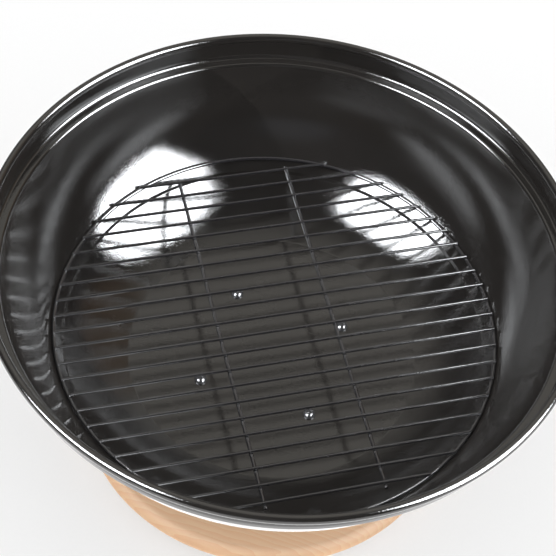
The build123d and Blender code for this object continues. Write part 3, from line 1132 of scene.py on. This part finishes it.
@dataclass
class Fasteners(Assembly):
    """The four bowl screws with their washers, spacers and nuts."""

    spacing: float = 90.8
    bowl_floor: float = 85.2
    washer_radius: float = 10.0
    washer_top: float = 84.0
    spacer_radius: float = 8.0
    spacer_top: float = 83.0
    spacer_bottom: float = 28.0
    nut_washer_radius: float = 7.0
    nut_washer_top: float = 18.0
    nut_top: float = 17.0
    screw_end: float = 11.5
    hole_radius: float = 2.75
    drive_angle: float = 30.0
    plate_edge: float = 0.2
    tube_edge: float = 0.5

    def build(self) -> list[Piece]:
        """Builds the screws, washers, spacers and nuts, each standing for its own node."""
        finishes, body, hole, spots = self.finishes, Body.GRILL, self.hole_radius, square(self.spacing)
        screw = DomedScrew(
            head_radius=4.75,
            head_height=3.7,
            head_side=1.1,
            drive_width=4.6,
            drive_slot=0.95,
            drive_depth=1.7,
            shank_radius=2.5,
            length=self.bowl_floor - self.screw_end,
            pitch=0.8,
            threaded=10.0,
            tip=0.6,
            tip_radius=1.9,
        )
        screws = screw.surface().placed(turning(self.drive_angle), (0.0, 0.0, self.bowl_floor))
        pads = ring_plate(hole, self.washer_radius, self.spacer_top, self.washer_top, self.plate_edge)
        tube = ring_plate(hole, self.spacer_radius, self.spacer_bottom, self.spacer_top, self.tube_edge)
        washer = (self.nut_washer_radius, self.nut_top, self.nut_washer_top, self.plate_edge)
        plates = ring_plate(hole, *washer, columns=64)
        nut = Nut()
        nuts = nut.surface().moved(0.0, 0.0, self.nut_top - nut.thickness)
        made = [
            add_piece("screws", screws.repeated(spots), finishes.dark, body, "bowl_screws"),
            add_piece("heat_pads", pads.repeated(spots), finishes.fibre, body, "heat_washers"),
        ]
        for number, spot in enumerate(spots, 1):
            standoff = tube.moved(*spot, 0.0)
            made.append(add_piece(f"standoff_{number}", standoff, finishes.satin, body, f"spacer_{number}"))
        made.append(add_piece("nut_plates", plates.repeated(spots), finishes.bright, body, "nut_washers"))
        nuts = nuts.repeated(spots)
        made.append(add_piece("hexagon_nuts", nuts, finishes.bright, body, "base_nuts", creased=True))
        return made


# ---- base


@dataclass
class WoodenBase(Assembly):
    """The four screwed-on rubber feet of the round board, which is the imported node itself."""

    foot_spacing: float = 170.0
    foot_height: float = 10.0
    foot_top: float = 14.0
    foot_bottom: float = 12.0
    foot_swell: float = 0.1
    top_edge: float = 0.6
    edge: float = 1.0
    recess_radius: float = 5.0
    recess_depth: float = 5.0
    recess_edge: float = 0.4
    bore_radius: float = 2.1

    def foot(self) -> Surface:
        """Draws a foot: a cone with round edges, a recess below and a bore through it, as one closed loop."""
        h, e, rim = self.foot_height, self.top_edge, self.recess_edge
        recess, depth, bore = self.recess_radius, self.recess_depth, self.bore_radius
        lean = heading((h, self.foot_top - self.foot_bottom))
        bottom = (self.foot_bottom + self.foot_swell - self.edge, self.edge)
        line = Profile()
        line.run((bore, h), (self.foot_top - e, h), 2)
        line.arc((self.foot_top - e, h - e), e, 90.0, -lean, 5)
        line.arc(bottom, self.edge, -lean, -90.0, 6)
        line.run((bottom[0], 0.0), (recess + rim, 0.0), 2)
        line.arc((recess + rim, rim), rim, -90.0, -180.0, 4)
        line.run((recess, rim), (recess, depth), 2)
        line.run((recess, depth), (bore, depth))
        line.run((bore, depth), (bore, h))
        return lathe(line, 96, Ends.LOOP)

    def build(self) -> list[Piece]:
        """Builds the feet and their screws, each standing for its own node."""
        spots = square(self.foot_spacing)
        made = []
        for number, spot in enumerate(spots, 1):
            foot, node = self.foot().moved(*spot, 0.0), f"foot_{number}"
            made.append(add_piece(f"rubber_{node}", foot, self.finishes.rubber, Body.GRILL, node))
        screw = DomedScrew(
            head_radius=4.0,
            head_height=2.6,
            head_side=0.7,
            drive_width=3.8,
            drive_slot=0.8,
            drive_depth=1.2,
            shank_radius=2.0,
            length=16.0,
            pitch=1.4,
            threaded=13.0,
            tip=2.5,
            tip_radius=0.4,
            columns=64,
        )
        driven = screw.surface().placed(turning(180.0, Axis.X), (0.0, 0.0, self.recess_depth)).repeated(spots)
        made.append(add_piece("driven_screws", driven, self.finishes.bright, Body.GRILL, "foot_screws"))
        return made


def dress_node(node: Piece, finish: Finish) -> None:
    """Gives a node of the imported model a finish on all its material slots."""
    for slot in node.material_slots:
        slot.material = finish.material()
    LOG.info("%s: packed node, dressed with %s", node.name, finish.name)


# ---- studio


@dataclass
class Softbox:
    """A flat lamp far off with its own outline and soft edges, given by its direction from the grill.

    The outline's corners lie in the lamp's plane, counted in lamp distances from the point that the direction
    meets: first along the level axis, then upward. They run counter-clockwise round a convex shape.
    """

    name: str
    azimuth: float
    elevation: float
    gleam: float
    light: float
    outline: tuple[Spot, ...]
    soft_edge: Spot = (0.01, 0.055)
    corner_blend: float = 0.06
    tint: Colour = (0.94, 0.97, 1.0)
    away: float = 6.0

    def axes(self) -> tuple[Vector, Vector, Vector]:
        """Returns the lamp's level axis, its upward axis and its direction from the grill."""
        a, e = math.radians(self.azimuth), math.radians(self.elevation)
        out = Vector((math.sin(a) * math.cos(e), -math.cos(a) * math.cos(e), math.sin(e)))
        level = Vector((0.0, 0.0, 1.0)).cross(out).normalized()
        return level, out.cross(level), out

    def mask(self, shade: Shade, corner: np.ndarray, size: np.ndarray) -> Socket:
        """Draws the outline: the smallest distance inward from its edges, turned into a soft step.

        Args:
            shade: The lamp's node tree.
            corner: Lowest corner of the lamp's rectangle.
            size: Width and height of the rectangle.

        Returns:
            The mask, 1 inside and 0 outside.
        """
        share = shade.node("NewGeometry").outputs["Parametric"]
        spot = shade.operate("VectorMath", "MULTIPLY_ADD", (share, (*size, 0.0), (*corner, 0.0))).outputs[0]
        corners = np.array(self.outline)
        along = np.roll(corners, -1, axis=0) - corners
        inward = np.stack([-along[:, 1], along[:, 0]], axis=1) / np.linalg.norm(along, axis=1, keepdims=True)
        nearest = None
        for normal, offset in zip(inward, (inward * corners).sum(axis=1)):
            distance = shade.maths("SUBTRACT", shade.facing(spot, (*normal, 0.0)), float(offset))
            if nearest is not None:
                distance = shade.maths("SMOOTH_MIN", nearest, distance, self.corner_blend)
            nearest = distance
        return shade.spread(nearest, self.soft_edge, soft=True)

    def build(self) -> None:
        """Makes two lamps in one place: one that shows in gloss, and a plain one that lights the surfaces."""
        level, up, out = self.axes()
        corners = np.array(self.outline)
        corner, size = corners.min(axis=0), np.ptp(corners, axis=0)
        middle = corner + size / 2
        place = (out + level * float(middle[0]) + up * float(middle[1])) * self.away
        turned = Matrix((level, up, out)).transposed().to_4x4()
        for kind, strength, glossy in (("gleam", self.gleam, True), ("light", self.light, False)):
            lamp = bpy.data.lights.new(f"{self.name}_{kind}", "AREA")
            lamp.shape = "RECTANGLE"
            lamp.size, lamp.size_y = (float(part) * self.away for part in size)
            lamp.energy = strength * lamp.size * lamp.size_y * math.pi
            if glossy:
                lamp.color = self.tint
                lamp.use_nodes = True
                emission = next(node for node in lamp.node_tree.nodes if node.type == "EMISSION")
                shade = Shade(lamp.node_tree)
                shade.feed(emission, Strength=self.mask(shade, corner, size))
            stand = bpy.data.objects.new(lamp.name, lamp)
            stand.matrix_world = Matrix.Translation(place) @ turned
            stand.visible_glossy = glossy
            stand.visible_diffuse = not glossy
            stand.visible_camera = False
            bpy.context.scene.collection.objects.link(stand)


@dataclass(frozen=True)
class Glow:
    """A soft patch in the room, round a direction, between two cosines of the angle to it."""

    direction: tuple[float, float, float]
    limits: Spot
    colour: Colour
    share: float = 1.0


@dataclass(frozen=True)
class Viewpoint:
    """A camera on a long lens, aimed at a point over the origin, then tipped and turned round Z."""

    distance: float = 1.16742
    elevation: float = 51.847
    height: float = 0.21615
    turn: float = 11.52
    yaw: float = -0.168
    pitch: float = 0.925
    roll: float = -7.964
    focal_length: float = 101.79
    sensor: float = 36.0
    near: float = 0.05
    far: float = 200.0

    def build(self) -> None:
        """Makes the camera and sets it as the scene's own."""
        place = (0.0, *polar(self.distance, 180.0 - self.elevation))
        level = turning(self.elevation - 90.0, Axis.X)
        tipped = turning(self.roll) @ turning(self.yaw, Axis.Y) @ turning(self.pitch, Axis.X) @ level
        spin = turning(self.turn)
        lens = bpy.data.cameras.new("studio_camera")
        lens.sensor_width, lens.lens = self.sensor, self.focal_length
        lens.clip_start, lens.clip_end = self.near, self.far
        view = bpy.data.objects.new("studio_camera", lens)
        where = Vector(spin @ place + (0.0, 0.0, self.height))
        view.matrix_world = Matrix.Translation(where) @ Matrix((spin @ tipped.T).tolist()).to_4x4()
        bpy.context.scene.collection.objects.link(view)
        bpy.context.scene.camera = view


RIGHT_BOX = Softbox(
    "right_box",
    azimuth=90.0,
    elevation=34.6,
    gleam=50.0,
    light=4.1,
    outline=(
        (-0.37, -0.46), (-0.24, -0.54), (0.07, -0.48), (0.345, -0.21), (0.41, 0.02),
        (0.41, 0.33), (0.30, 0.51), (0.14, 0.61), (0.04, 0.61), (-0.31, 0.49),
        (-0.40, 0.355), (-0.50, 0.19), (-0.54, 0.07), (-0.46, -0.20),
    ),
)
LEFT_BOX = Softbox(
    "left_box",
    azimuth=-47.8,
    elevation=42.5,
    gleam=58.0,
    light=5.5,
    outline=(
        (0.43, -0.06), (0.43, 0.04), (0.365, 0.23), (0.29, 0.40), (0.18, 0.49), (0.06, 0.49),
        (-0.20, 0.38), (-0.30, 0.20), (-0.31, -0.27), (0.02, -0.24), (0.30, -0.17),
    ),
)


@dataclass
class Studio:
    """The pale floor, the soft lamps, the room's glow and the camera."""

    view: Viewpoint = Viewpoint()
    boxes: tuple[Softbox, ...] = (RIGHT_BOX, LEFT_BOX)
    floor_size: float = 40.0
    paper: Spot = (0.43, 0.44)
    paper_seen: float = 0.52
    paper_mirrored: float = 2.0
    room_dark: Colour = (0.045, 0.047, 0.052)
    room_grey: Colour = (0.97, 0.97, 0.97)
    room_white: Colour = (1.0, 1.0, 1.0)
    glows: tuple[Glow, ...] = (
        Glow((-0.0999, 0.4900, 0.8660), (0.66, 0.97), (1.10, 1.06, 0.97)),
        Glow((0.423, 0.677, 0.602), (0.93, 0.985), (0.42, 0.24, 0.10), 0.75),
        Glow((0.2468, -0.9529, 0.1740), (0.950, 0.988), (0.22, 0.24, 0.28)),
    )

    def floor(self) -> None:
        """Makes the floor: a pale plane that glows to the camera and in gloss, so it stays near white."""
        mesh = bpy.data.meshes.new("studio_floor")
        corners = square(self.floor_size)
        mesh.from_pydata([(*corners[k], 0.0) for k in (0, 2, 3, 1)], [], [(0, 1, 2, 3)])
        plane = bpy.data.objects.new("studio_floor", mesh)
        bpy.context.scene.collection.objects.link(plane)
        paper = bpy.data.materials.new("pale_paper")
        paper.use_nodes = True
        nodes = paper.node_tree.nodes
        nodes.remove(nodes["Principled BSDF"])
        shade = Shade(paper.node_tree)
        grain = shade.spread(shade.noise(shade.place(), 400.0), NOISE_BAND, self.paper)
        tone = shade.node("CombineColor", Red=grain, Green=grain, Blue=grain).outputs[0]
        path = shade.node("LightPath").outputs
        seen = shade.product(path["Is Camera Ray"], self.paper_seen)
        strength = shade.total(seen, shade.product(path["Is Glossy Ray"], self.paper_mirrored))
        both = shade.node("AddShader")
        shade.plug(both.inputs[0], shade.node("BsdfDiffuse", Color=tone).outputs[0])
        shade.plug(both.inputs[1], shade.node("Emission", Strength=strength).outputs[0])
        shade.feed(nodes["Material Output"], Surface=both.outputs[0])
        mesh.materials.append(paper)

    def room(self) -> None:
        """Makes the room's glow: white to the camera, plain grey on surfaces, a dim room in gloss."""
        world = bpy.data.worlds.new("studio_room")
        world.use_nodes = True
        bpy.context.scene.world = world
        shade = Shade(world.node_tree)
        way = shade.node("TexCoord").outputs["Generated"]
        room = self.room_dark
        for glow in self.glows:
            patch = shade.spread(shade.facing(way, glow.direction), glow.limits, soft=True)
            room = shade.blend(shade.product(patch, glow.share), room, glow.colour)
        path = shade.node("LightPath").outputs
        seen = shade.blend(path["Is Glossy Ray"], self.room_grey, room)
        seen = shade.blend(path["Is Camera Ray"], seen, self.room_white)
        shade.feed(world.node_tree.nodes["Background"], Color=seen, Strength=1.0)

    def build(self) -> None:
        """Makes the whole studio and sets the plain view transform."""
        self.view.build()
        self.floor()
        self.room()
        for box in self.boxes:
            box.build()
        bpy.context.scene.view_settings.view_transform = "Standard"


def main() -> None:
    """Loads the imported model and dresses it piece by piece."""
    logging.basicConfig(level=logging.INFO, format="%(name)s %(message)s")
    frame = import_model()
    Studio().build()
    for assembly in (FireBowl(), CharcoalGrate(), Fasteners(), WoodenBase()):
        for piece in assembly.build():
            LOG.info("%s: %d points", piece.name, len(piece.data.vertices))
    dress_node(frame["nodes"]["base_board"], Finishes().wood)


if __name__ == "__main__":
    main()
